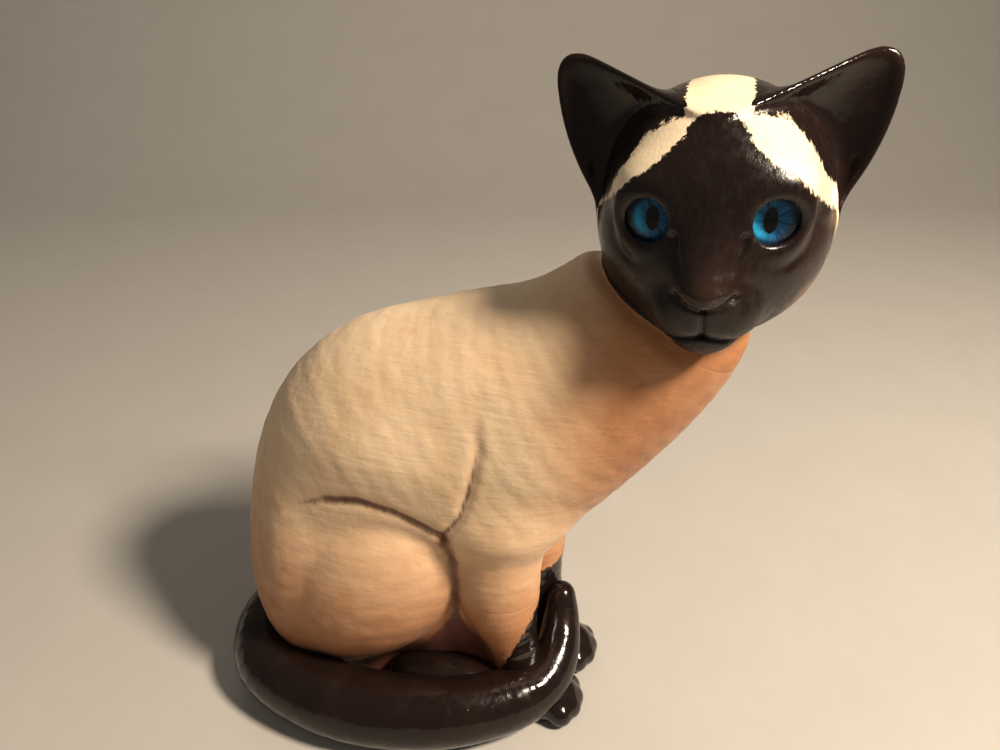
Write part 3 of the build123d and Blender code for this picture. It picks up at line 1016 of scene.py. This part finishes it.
def make_iris(name, axes, material):
    """A dished disc, painted with fibres, a painted caustic of pale light on its lower outer side, and a
    dark rim.
    """
    rings = np.linspace(0, 1, 22)
    piece = disc(f"{name}_iris_disc", axes, [(EYE_RADIUS * t, -0.5 * (1 - t * t)) for t in rings])
    angle = np.tile(np.arange(SPOKES) * 2 * math.pi / SPOKES, len(rings) - 1)
    radius = np.repeat(rings[1:], SPOKES)
    angle = np.concatenate([[0.0], angle])
    radius = np.concatenate([[0.0], radius])
    fibre = 0.5 + 0.22 * np.sin(23 * angle + 2 * np.sin(5 * angle))
    fibre = fibre + 0.16 * np.sin(41 * angle + 4 * radius)
    fibre = fibre + 0.2 * np.sin(9 * angle + 3 * radius)
    # painted caustic: light that the glass dome focuses onto the lower outer side
    caustic_angle = np.cos(angle - math.radians(205))
    painted_caustic = 0.75 * np.clip(caustic_angle, 0, 1) ** 2 * np.exp(-((radius - 0.52) / 0.17) ** 2)
    paint(piece, "fibre", fibre)
    paint(piece, "painted_caustic", painted_caustic)
    paint(piece, "rim", ramp(radius, 0.56, 0.78))
    dress(piece, material, "iris_enamel", f"{name}_eye_iris")


def make_pupil(name, axes, material):
    profile = [(t, -0.42 + 0.3 * math.sqrt(1 - 0.9 * t * t)) for t in np.linspace(0, 1, 9)]
    piece = disc(f"{name}_pupil_dot", axes, profile + [(1.0, -0.52)], PUPIL_HALF)
    dress(piece, material, "pupil_enamel", f"{name}_eye_pupil")


def make_eyes():
    glass = glass_material()
    iris = iris_material()
    pupil = pupil_material()
    for name, side in SIDES.items():
        axes = eye_axes(name, side)
        make_glass(name, axes, glass)
        make_iris(name, axes, iris)
        make_pupil(name, axes, pupil)


def coat_cad_node(node, material):
    bpy.data.objects[node].material_slots[0].material = material


# ---- floor, light and camera ----

CAMERA_PLACE = (-279.7, -39.8, 334.5)       # in the cat's millimetres
CAMERA_TURN = math.radians(18)              # from straight across the body towards its back
CAMERA_DROP = math.radians(28.3)
CAMERA_LENS = 27.18                         # on a 36 mm sensor


# the floor, in metres along the camera's view
FLOOR_START = -2.2
FLOOR_BEND = 0.9            # where it starts to curve up
FLOOR_CURVE = 0.6           # radius of the curve
FLOOR_TOP = 2.4
FLOOR_HALF_WIDTH = 3.0


def make_floor(material):
    """A plain floor that curves up far behind the figure."""
    angles = [math.radians(angle) for angle in range(10, 91, 10)]
    depths = [FLOOR_START, FLOOR_BEND] + [FLOOR_BEND + FLOOR_CURVE * math.sin(angle) for angle in angles]
    depths.append(FLOOR_BEND + FLOOR_CURVE)
    heights = [0.0, 0.0] + [FLOOR_CURVE - FLOOR_CURVE * math.cos(angle) for angle in angles]
    heights.append(FLOOR_TOP)
    mesh = bpy.data.meshes.new("floor")
    forward = np.array((math.cos(CAMERA_TURN), math.sin(CAMERA_TURN)))
    aside = np.array((-forward[1], forward[0]))
    points = []
    for depth, height in zip(depths, heights):
        for reach in (-FLOOR_HALF_WIDTH, FLOOR_HALF_WIDTH):
            points.append((*(forward * depth + aside * reach), height))
    faces = [(2 * i, 2 * i + 1, 2 * i + 3, 2 * i + 2) for i in range(len(depths) - 1)]
    mesh.from_pydata(points, [], faces)
    mesh.update()
    mesh.shade_smooth()
    mesh.materials.append(material)
    floor = bpy.data.objects.new("floor", mesh)
    bpy.context.scene.collection.objects.link(floor)


def make_lamp(name, place, target, size, power, colour):
    light = bpy.data.lights.new(name, "AREA")
    light.shape = "DISK"
    light.size = size
    light.energy = power
    light.color = colour
    lamp = bpy.data.objects.new(name, light)
    lamp.location = place
    lamp.rotation_mode = "QUATERNION"
    lamp.rotation_quaternion = (Vector(target) - Vector(place)).to_track_quat("-Z", "Y")
    bpy.context.scene.collection.objects.link(lamp)
    return lamp


def make_light():
    world = bpy.data.worlds.new("studio")
    bpy.context.scene.world = world
    world.use_nodes = True
    backdrop = world.node_tree.nodes["Background"]
    backdrop.inputs["Color"].default_value = (1.0, 0.94, 0.87, 1)
    backdrop.inputs["Strength"].default_value = 0.13
    middle_height = CAD_BOX[1][2] / 2
    target = (0, 0, middle_height)
    make_lamp("key_lamp", (-0.15, -0.78, 1.0), target, 0.22, 29, (1.0, 0.86, 0.69))
    fill = make_lamp("soft_fill", (-1.3, 0.3, 1.6), target, 1.8, 2.6, (1.0, 0.86, 0.7))
    fill.visible_glossy = False
    behind = make_lamp("back_light", (1.2, 0.9, 1.2), target, 1.2, 4, (1.0, 0.92, 0.82))
    behind.visible_glossy = False
    bpy.context.scene.view_settings.view_transform = "Standard"


def make_camera():
    camera = bpy.data.cameras.new("camera")
    camera.sensor_width = 36
    camera.lens = CAMERA_LENS
    camera.clip_start = 0.01
    viewer = bpy.data.objects.new("camera", camera)
    viewer.location = cat_to_row(np.array(CAMERA_PLACE))
    level = math.cos(CAMERA_DROP)
    gaze = Vector((math.cos(CAMERA_TURN) * level, math.sin(CAMERA_TURN) * level, -math.sin(CAMERA_DROP)))
    viewer.rotation_mode = "QUATERNION"
    viewer.rotation_quaternion = gaze.to_track_quat("-Z", "Y")
    bpy.context.scene.collection.objects.link(viewer)
    bpy.context.scene.camera = viewer


# ---- putting it together ----

glazed = glaze_material()
make_body(bisque_material())
make_head(face_material(), glazed)
make_legs(foreleg_material(), glazed)
make_tail(glazed)
make_eyes()
putty = putty_material()
for name in SIDES:
    coat_cad_node(f"{name}_eye_bedding", putty)
coat_cad_node("neck_slip_seam", slip_material())
make_floor(floor_material())
make_light()
make_camera()
